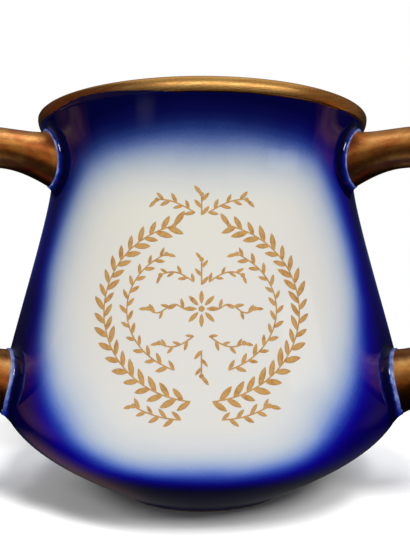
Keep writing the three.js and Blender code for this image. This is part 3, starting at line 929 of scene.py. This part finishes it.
# %% Sizes of the handles
GRIP = {"thick": 10.9, "wide": 11.8}
HANDLE_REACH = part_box("handle_back")[1][1] / MM - GRIP["thick"] / 2
REACH_SHARE = 0.66
REACH_FULLNESS = {"upper": 0.93, "lower": 0.60}
ROOTS = {
    "upper": {"height": CUP_HEIGHT - 15.9, "thick": 16.5, "wide": 12.6, "spread": 15.5,
              "angle": math.radians(15.5), "fullness": 0.65},
    "lower": {"height": 36.7, "thick": 17.6, "wide": 15.6, "spread": 26.0,
              "angle": math.radians(23), "fullness": 0.68},
}
HANDLE_TURNS = {"back": math.radians(90), "left": math.radians(210), "right": math.radians(330)}
ROOT_LEAN = 10.0
COLLAR_HEIGHT = 2.45
COLLAR_FLARE = 2.6
DIRECTION_STEP = 0.4


def handle_line(count=260):
    """The handle's centre line in its own plane: distance out from the axis, and height."""
    ends = {k: np.array((wall_radius(r["height"]), r["height"])) for k, r in ROOTS.items()}
    reach = np.array((HANDLE_REACH, ends["lower"][1] + REACH_SHARE * (ends["upper"][1] - ends["lower"][1])))
    halves = {}
    for root, side in (("upper", 1), ("lower", -1)):
        facts, end = ROOTS[root], ends[root]
        pull = (reach[0] - end[0]) * facts["fullness"]
        leave = end + pull * np.array((math.cos(facts["angle"]), math.sin(facts["angle"])))
        turn_in = reach + (0, side * abs(end[1] - reach[1]) * REACH_FULLNESS[root])
        halves[root] = bezier([end, leave, turn_in, reach], count)
    return np.concatenate([halves["upper"], halves["lower"][::-1][1:]])


line = handle_line()
line_run = np.concatenate([[0], np.cumsum(np.linalg.norm(np.diff(line, axis=0), axis=1))])
LINE_LENGTH = float(line_run[-1])
print("handle: centre line of", round(LINE_LENGTH, 1), "mm")


def line_point(distance):
    """The point at a distance along the centre line from the upper root."""
    return np.array((np.interp(distance, line_run, line[:, 0]), 0, np.interp(distance, line_run, line[:, 1])))


def station_at(distance):
    """Centre, direction and half sizes of the handle at a distance along its line."""
    before, beyond = max(distance - DIRECTION_STEP, 0), min(distance + DIRECTION_STEP, LINE_LENGTH)
    along = line_point(beyond) - line_point(before)
    station = {"centre": line_point(distance), "along": along / np.linalg.norm(along), "run": distance}
    for size in ("thick", "wide"):
        value = GRIP[size]
        for root, away in (("upper", distance), ("lower", LINE_LENGTH - distance)):
            value += max(0, 1 - away / ROOTS[root]["spread"]) ** 2 * (ROOTS[root][size] - GRIP[size])
        station[size] = value / 2
    return station


def root_station(root, distance):
    """The same for either root, at a distance out from the wall and looking away from the body."""
    if root == "upper":
        return station_at(distance)
    station = station_at(LINE_LENGTH - distance)
    return {**station, "along": -station["along"]}


def laid(station, clearance, grow=0.0, share=1.0, lift=0.0):
    """A ring of the station laid on the wall at one clearance, grown and then shrunk to a share."""
    return {**station, "thick": (station["thick"] + grow) * share, "wide": (station["wide"] + grow) * share,
            "away": station["along"], "lean": 1.0, "stand": clearance, "lift": lift, "root": clearance}


# %% [markdown]
# ## A tree that sweeps an oval
# The same tree makes handles and collars. Each row of its grid is an oval round one station. A ray
# from outside finds the wall under each point, and the point moves towards that place by as much
# as the row leans on the wall. An azimuth turns the whole piece to its place on the cup.

# %% Sweep tree
SWEPT = {"along": "FLOAT_VECTOR", "away": "FLOAT_VECTOR", "wide": "FLOAT", "thick": "FLOAT",
         "lean": "FLOAT", "stand": "FLOAT", "lift": "FLOAT", "run": "FLOAT", "root": "FLOAT"}
OVAL_SIDES = 64
RAY_START, RAY_LENGTH = 0.03, 0.1
wall_form = turned("wall_form", outline, white, turns=360)
sweep, given, result = new_tree("pressed_on_clay", {
    "Sides": ("Int", OVAL_SIDES), "Azimuth": ("Float", 0.0),
    "Wall": ("Object", None), "Finish": ("Material", None)})


def wall_hit(wall, start, direction, length):
    """What a ray finds on the wall."""
    target = take("Geometry", "GeometryNodeObjectInfo", {"Object": wall})
    return add_node("GeometryNodeRaycast", {
        "Target Geometry": target, "Source Position": start, "Ray Direction": direction,
        "Ray Length": length}).outputs


def stepped(start, direction, distance):
    """A place that lies this far from the start in this direction."""
    return vector_calc("ADD", start, vector_calc("SCALE", direction, scale=distance))


grid, row, angle = grid_places(point_count(given["Geometry"]), given["Sides"])
centre = of_station(given["Geometry"], place_of(), row, "FLOAT_VECTOR")
at = {name: of_station(given["Geometry"], named_value(name, kind), row, kind)
      for name, kind in SWEPT.items()}
upward = vector_calc("CROSS_PRODUCT", at["along"], (0, 1, 0))
beside = times(at["wide"], calc("COSINE", angle))
above = times(at["thick"], calc("SINE", angle))
ring_point = stepped(centre, (0, 1, 0), times(beside, MM))
ring_point = stepped(ring_point, upward, times(above, MM))
ray = wall_hit(given["Wall"], stepped(ring_point, at["away"], RAY_START),
               vector_calc("SCALE", at["away"], scale=-1.0), RAY_LENGTH)
on_wall = stepped(ray["Hit Position"], at["away"], times(at["stand"], MM))
leaning = times(times(at["lean"], at["lean"]), ray["Is Hit"])
pressed = mix(leaning, ring_point, on_wall, "VECTOR")
placed = moved(grid.outputs["Mesh"], turned_about_z(pressed, given["Azimuth"]))
placed = store(placed, "brush", vector_of(beside, above, at["run"]), "FLOAT_VECTOR")
placed = store(placed, "lift", at["lift"])
placed = store(placed, "root", at["root"])
placed = store(placed, "UVMap", grid.outputs["UV Map"], "FLOAT2", "CORNER")
link(coated(closed_skin(placed), given["Finish"]), result["Geometry"])
print(sweep.name, "has", len(sweep.nodes), "nodes")


def station_mesh(name, stations):
    """Stations as a line of points that carry their directions and sizes."""
    mesh = bpy.data.meshes.new(name)
    mesh.from_pydata([tuple(s["centre"] * MM) for s in stations], chain(len(stations)), [])
    for key, kind in SWEPT.items():
        values = np.array([s[key] for s in stations], float)
        field = mesh.attributes.new(key, kind, "POINT").data
        field.foreach_set("vector" if kind == "FLOAT_VECTOR" else "value", values.ravel())
    return mesh


def swept(name, stations, side, finish):
    """A piece swept through its stations, turned to its side of the cup."""
    return grown(name, station_mesh(name + "_stations", stations), sweep, {
        "Sides": OVAL_SIDES, "Azimuth": HANDLE_TURNS[side], "Wall": wall_form, "Finish": finish})


# %% [markdown]
# ## The slip collar and its glaze
# The handle is stuck on with slip, which stands as a low fillet round each root. The glaze is
# darker in its hollow and runs thin and pale at its upper edge, in patches. A bump could only hint at
# the fillet, so it is a swept piece, and `lift` tells its finish how far up a place lies, from 0 at
# the wall to 1 at the handle. The gold is brushed on by hand up to that edge, so its border wanders.

# %% Collar finish
HOLLOW_TO_EDGE_GLAZE = painted((
    (0.0, 8, 8, 72), (0.12, 4, 3, 46), (0.40, 3, 3, 34), (0.62, 8, 12, 82), (0.80, 20, 34, 134),
    (1.0, 34, 56, 166)))
PALE_EDGE, THIN_PATCHES, LEAST_THIN = (0.80, 1.0), (0.38, 0.62), 0.4
UNDER_THE_ROOT, LOWER_ROOT, LOWER_WIDER = (29, 37), (62, 50), 0.20
COLLAR_WAVER, PALE_GLAZE = (1.6, 0.30, 3), paint(142, 166, 224)
collar_glaze, shader = new_finish("slip_collar_glaze", 0.06)
place = on_surface()
level = parts_of(place)["Z"]
wandering = plus(stored("lift"), waver(place, *COLLAR_WAVER))
hollow_to_edge = ramp_of(wandering, HOLLOW_TO_EDGE_GLAZE, 0.0, 1.0)
patchy = times_plus(step_up(noise(place, 2.2, 3), *THIN_PATCHES), 1 - LEAST_THIN, LEAST_THIN)
patchy = times(patchy, step_up(level, *UNDER_THE_ROOT))
edge = times_plus(step_up(level, *LOWER_ROOT), LOWER_WIDER, wandering)
thin = times(patchy, step_up(edge, *PALE_EDGE))
feed(shader, Base_Color=mix(thin, hollow_to_edge, PALE_GLAZE))
set_bump(shader, noise(place, 1.4), 0.12, 0.0002)
print("collar glaze: pale above", PALE_EDGE[0], "of the way up")

# %% Shape the handles and collars
HANDLE_START = COLLAR_HEIGHT - 0.6
HANDLE_STATIONS = 120
END_SHARES = (0.0, 0.3, 0.6, 0.85, 0.97)
COLLAR_BED, COLLAR_STEPS, COLLAR_HOLLOW, COLLAR_BODY, COLLAR_LIFT = 0.3, 14, 2.4, 0.32, 0.92
COLLAR_SUNK, COLLAR_TOP, NEAREST_STATION = -0.5, 0.1, 0.05
COLLAR_EDGE = ((-0.13, 0.27, 0.95), (-0.05, 0.14, 0.98), (-0.03, -0.1, 1.0))


def handle_stations():
    """Stations of one handle, from its upper root to its lower one, with both ends closed."""
    upper, lower = (root_station(root, HANDLE_START) for root in ("upper", "lower"))
    stations = [laid(upper, HANDLE_START, share=s) for s in END_SHARES]
    for step in range(HANDLE_STATIONS + 1):
        share = (1 - math.cos(step / HANDLE_STATIONS * math.pi)) / 2
        distance = HANDLE_START + share * (LINE_LENGTH - 2 * HANDLE_START)
        from_root = min(distance, LINE_LENGTH - distance)
        station = station_at(distance)
        away = station["along"] * (1 if distance < LINE_LENGTH / 2 else -1)
        stations.append({**station, "away": away, "lean": max(0, 1 - (from_root - HANDLE_START) / ROOT_LEAN),
                         "stand": from_root, "lift": 1.0, "root": from_root})
    for share in reversed(END_SHARES):
        closing = laid(lower, HANDLE_START, share=share)
        stations.append({**closing, "along": -closing["along"]})
    return stations


def collar_stations(root):
    """Stations of one collar: a hollow fillet from the wall up to a rounded edge on the handle."""
    foot_ring, top_ring = root_station(root, COLLAR_BED), root_station(root, COLLAR_HEIGHT)
    stations = [laid(foot_ring, COLLAR_SUNK, COLLAR_FLARE, share) for share in (0.0, 0.5, 0.9)]
    for step in range(COLLAR_STEPS + 1):
        share = step / COLLAR_STEPS
        clearance = -COLLAR_BED + (COLLAR_HEIGHT + COLLAR_TOP) * share
        grow = COLLAR_FLARE * (1 - share) ** COLLAR_HOLLOW + COLLAR_BODY * share
        station = root_station(root, max(clearance, NEAREST_STATION))
        stations.append(laid(station, clearance, grow, 1.0, share * COLLAR_LIFT))
    stations += [laid(top_ring, COLLAR_HEIGHT + rise, grow, 1.0, lift) for rise, grow, lift in COLLAR_EDGE]
    return stations + [laid(top_ring, COLLAR_HEIGHT - COLLAR_TOP, -COLLAR_TOP, s, 1.0) for s in (0.6, 0.0)]


handles = {side: swept(f"handle_{side}_gilt", handle_stations(), side, handle_gold) for side in HANDLE_TURNS}
collars = {(side, root): swept(f"collar_{side}_{root}_slip", collar_stations(root), side, collar_glaze)
           for side in HANDLE_TURNS for root in ROOTS}

# %% [markdown]
# ## A gilt wreath in the reserve
# The white field carries gilding in a soft ochre. Here it is a generic wreath of leaves with small
# sprays, laid out flat as stems first. It could be a painted pattern, but real leaves keep a clean
# edge from any side. The tree sets a leaf every few millimetres along each stem, on alternate
# sides, puts a berry at its tip, draws the stem as a fine tube, and wraps the whole flat drawing
# round the cup: a ray finds the wall's radius at each height.

# %% Stems of the wreath
SIDES = (1, -1)
UPRIGHT_SPRIGS = (((22.4, 25.0, 27.6), 0.70), ((-9.4, -12.0, -15.0), 0.62), ((5.6, 8.4, 11.6), 0.62))
BRANCHES = ((24.2, 20.6, (-84, 74), 60, 1.06), (18.0, 14.6, (-70, 62), 44, 0.72))


def wreath_stems():
    """Each stem as points along the wall and over the reserve's middle, in millimetres, and its leaf size."""
    stems = [(np.array([(0, z) for z in heights], float), size) for heights, size in UPRIGHT_SPRIGS]
    curves = []
    for reach, rise, ends, count, size in BRANCHES:
        turn = np.radians(np.linspace(*ends, count))
        curves.append((reach * np.cos(turn), rise * np.sin(turn), size))
    bend = np.linspace(0, 1, 24)
    curves += [(1.6 + 9.5 * bend, 23.0 + 3.4 * np.sin(bend * 1.7), 0.70),
               (4.6 + 11 * bend, -24.4 + 2.6 * bend ** 2, 0.70),
               (4.2 + 8.4 * bend, np.sin(bend * 6.28), 0.60),
               (1.8 + 8.0 * bend, 6.2 + 2.4 * np.sin(bend * 2.4), 0.58),
               (1.8 + 8.0 * bend, -6.2 - 2.4 * np.sin(bend * 2.4), 0.58)]
    return stems + [(np.stack([side * x, z], 1), size) for side in SIDES for x, z, size in curves]


def stems_mesh(stems):
    """The stems as one mesh of edges that carry their growing direction and leaf size."""
    places, edges, growth, sizes = [], [], [], []
    for points, size in stems:
        edges += chain(len(points), len(places))
        along = np.gradient(points, axis=0)
        along /= np.linalg.norm(along, axis=1)[:, None]
        places += [(x * MM, 0, z * MM) for x, z in points]
        growth += [(x, 0, z) for x, z in along]
        sizes += [size] * len(points)
    mesh = bpy.data.meshes.new("wreath_stems")
    mesh.from_pydata(places, edges, [])
    mesh.attributes.new("growth", "FLOAT_VECTOR", "POINT").data.foreach_set("vector", np.ravel(growth))
    mesh.attributes.new("size", "FLOAT", "POINT").data.foreach_set("value", sizes)
    return mesh


print("stems in the wreath:", len(wreath_stems()))

# %% Leaves of the wreath
LEAF_LENGTH, LEAF_WIDTH, LEAF_SPACING, LEAF_TURN = 4.0, 1.3, 1.6, math.radians(40)
LEAF_THICKNESS, LEAF_POINT, LEAF_START = 0.05, 0.35, 0.94
LEAF_VARIES, LEAF_SEED = (0.86, 1.08), 3
STEM_RADIUS, STEM_FLATNESS, BERRY_RADIUS, WREATH_RAISE = 0.17, 0.25, 0.55, 0.03
PETAL_COUNT, PETAL_PLACE, PETAL_SIZE, HEART_SIZE = 8, 1.2, 0.78, 1.3
wreath_tree, given, result = new_tree("gilt_wreath", {
    "Leaf Length": ("Float", LEAF_LENGTH), "Leaf Width": ("Float", LEAF_WIDTH),
    "Leaf Spacing": ("Float", LEAF_SPACING), "Leaf Turn": ("Float", LEAF_TURN),
    "Petals": ("Int", PETAL_COUNT), "Stem Radius": ("Float", STEM_RADIUS),
    "Berry Radius": ("Float", BERRY_RADIUS), "Raise": ("Float", WREATH_RAISE),
    "Height": ("Float", RESERVE_HEIGHT), "Wall": ("Object", None), "Finish": ("Material", None),
    "Seed": ("Int", LEAF_SEED)})


def in_metres(value):
    """Millimetres as metres."""
    return times(value, MM)


def leaf_shape(length, width):
    """A lens with pointed ends, from the origin along X, flat in the XZ plane."""
    ball = add_node("GeometryNodeMeshUVSphere", {"Segments": 8, "Rings": 8, "Radius": 1.0})
    at = parts_of(place_of())
    round_off = calc("MAXIMUM", calc("SUBTRACT", 1.0, times(at["Z"], at["Z"])), 0.0)
    slim = calc("POWER", round_off, LEAF_POINT)
    lens = moved(ball.outputs["Mesh"], vector_of(
        in_metres(times(plus(at["Z"], LEAF_START), times(length, 0.5))),
        in_metres(times(at["Y"], LEAF_THICKNESS)),
        in_metres(times(times(at["X"], slim), times(width, 0.5)))))
    # X and Z have changed places, which turns the ball inside out, so its faces are flipped back.
    return take("Mesh", "GeometryNodeFlipFaces", {"Mesh": lens})


def set_on(points, shape, turn, size, selection=True):
    """The shape set on each point, turned in the drawing's plane."""
    spin = add_node("FunctionNodeEulerToRotation", {"Euler": vector_of(0.0, times(turn, -1))})
    return take("Instances", "GeometryNodeInstanceOnPoints", {
        "Points": points, "Instance": shape, "Rotation": spin.outputs["Rotation"],
        "Scale": vector_of(size, 1.0, size), "Selection": selection})


leaf = leaf_shape(given["Leaf Length"], given["Leaf Width"])
drawn = take("Curve", "GeometryNodeMeshToCurve", {"Mesh": given["Geometry"]})
stations = take("Curve", "GeometryNodeResampleCurve", {
    "Curve": drawn, "Length": in_metres(given["Leaf Spacing"])}, mode="LENGTH")
growth = parts_of(named_value("growth", "FLOAT_VECTOR"))
heading = calc("ARCTAN2", growth["Z"], growth["X"])
index = take("Index", "GeometryNodeInputIndex")
side = times_plus(calc("MODULO", index, 2), 2, -1)
least, most = LEAF_VARIES
chance = take("Value", "FunctionNodeRandomValue", {"Min": least, "Max": most, "Seed": given["Seed"]})
size = times(named_value("size"), chance)
leaves = set_on(stations, leaf, times_plus(side, given["Leaf Turn"], heading), size)
print("leaves: one every", LEAF_SPACING, "mm")

# %% Berries, rosette and stems of the wreath
tips = take("Selection", "GeometryNodeCurveEndpointSelection", {"Start Size": 0, "End Size": 1})
berry = take("Mesh", "GeometryNodeMeshUVSphere", {"Segments": 10, "Rings": 6, "Radius": 1.0})
berry_radius = in_metres(given["Berry Radius"])
flat_berry = after(berry, "GeometryNodeTransform", {
    "Scale": vector_of(berry_radius, LEAF_THICKNESS * MM, berry_radius)})
berries = set_on(drawn, flat_berry, 0.0, 1.0, tips)
petal_turn = times(index, calc("DIVIDE", 2 * math.pi, given["Petals"]))
across, upward = (times(calc(wave, petal_turn), PETAL_PLACE * MM) for wave in ("COSINE", "SINE"))
petals = take("Points", "GeometryNodePoints", {
    "Count": given["Petals"], "Position": vector_of(across, 0.0, upward)})
rosette = set_on(petals, leaf, petal_turn, PETAL_SIZE)
middle = take("Points", "GeometryNodePoints", {"Count": 1})
heart = set_on(middle, flat_berry, 0.0, HEART_SIZE)
ring = take("Curve", "GeometryNodeCurvePrimitiveCircle", {
    "Resolution": 6, "Radius": in_metres(given["Stem Radius"])})
tubes = take("Mesh", "GeometryNodeCurveToMesh", {"Curve": drawn, "Profile Curve": ring, "Fill Caps": True})
flat_stems = after(tubes, "GeometryNodeTransform", {"Scale": (1, STEM_FLATNESS, 1)})
join = add_node("GeometryNodeJoinGeometry")
for part in (heart, rosette, berries, leaves, flat_stems):
    link(part, join.inputs["Geometry"])
flat_drawing = after(join.outputs["Geometry"], "GeometryNodeRealizeInstances")
print("rosette of", PETAL_COUNT, "petals")

# %% Wrap the wreath round the cup
RAY_OUTSIDE, RAY_INWARD = 0.2, 0.3
flat = parts_of(place_of())
level = plus(flat["Z"], in_metres(given["Height"]))
ray = wall_hit(given["Wall"], vector_of(RAY_OUTSIDE, 0.0, level), (-1, 0, 0), RAY_INWARD)
wall_here = parts_of(ray["Hit Position"])["X"]
stands = plus(wall_here, calc("SUBTRACT", in_metres(given["Raise"]), flat["Y"]))
wrapped = turned_about_z(vector_of(0.0, times(stands, -1), level),
                         calc("DIVIDE", flat["X"], wall_here))
smooth = after(moved(flat_drawing, wrapped), "GeometryNodeSetShadeSmooth")
link(coated(smooth, given["Finish"]), result["Geometry"])
print(wreath_tree.name, "has", len(wreath_tree.nodes), "nodes")

# %% [markdown]
# ## The wreath's gold
# This gold lies thin on the white and is not burnished, so it looks like a warm ochre with only a
# little metal in it, a shade darker where it has worn.

# %% Wreath finish and piece
OCHRE_WEAR, OCHRE, WORN_OCHRE = (0.45, 0.72), paint(236, 182, 108), paint(212, 154, 84)
wreath_gold, shader = new_finish("ochre_gilding", 0.42, metallic=0.35)
place = on_surface()
worn = step_up(noise(place, 1.4, 4), *OCHRE_WEAR)
feed(shader, Base_Color=mix(worn, OCHRE, WORN_OCHRE))
set_bump(shader, noise(place, 0.3, 3), 0.3, 0.00004)
wreath = grown("gilt_wreath", stems_mesh(wreath_stems()), wreath_tree, {
    "Wall": wall_form, "Finish": wreath_gold})
bpy.data.objects.remove(wall_form)

# %% [markdown]
# ## Riding on the model
# Every dressed piece stands for one node of the imported model and rides on its only body.
# Here the lamps meet their pieces too: one group for each finish that mirrors.

# %% Ride
dressed = [(bowl, "bowl", "cobalt_glaze"), (rim, "gilt_rim", "rim_gilding"),
           (foot, "foot_ring", "foot_glaze")]
dressed += [(piece, "handle_" + side, "handle_gilding") for side, piece in handles.items()]
dressed += [(piece, f"collar_{side}_{root}", "collar_glaze") for (side, root), piece in collars.items()]
for piece, node, slot in dressed:
    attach(piece, "root")
    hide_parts(node)
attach(wreath, "root")
everything = [wreath] + [piece for piece, node, slot in dressed]
for lamps, lit in ((cup_lamps, everything), (gold_lamps, handles.values()), (glaze_lamps, (bowl, foot)),
                   ([spark], collars.values()), (lip_lamps, [rim])):
    for lamp in lamps:
        light_only(lamp, *lit)
print("dressed:", len(dressed), "nodes")
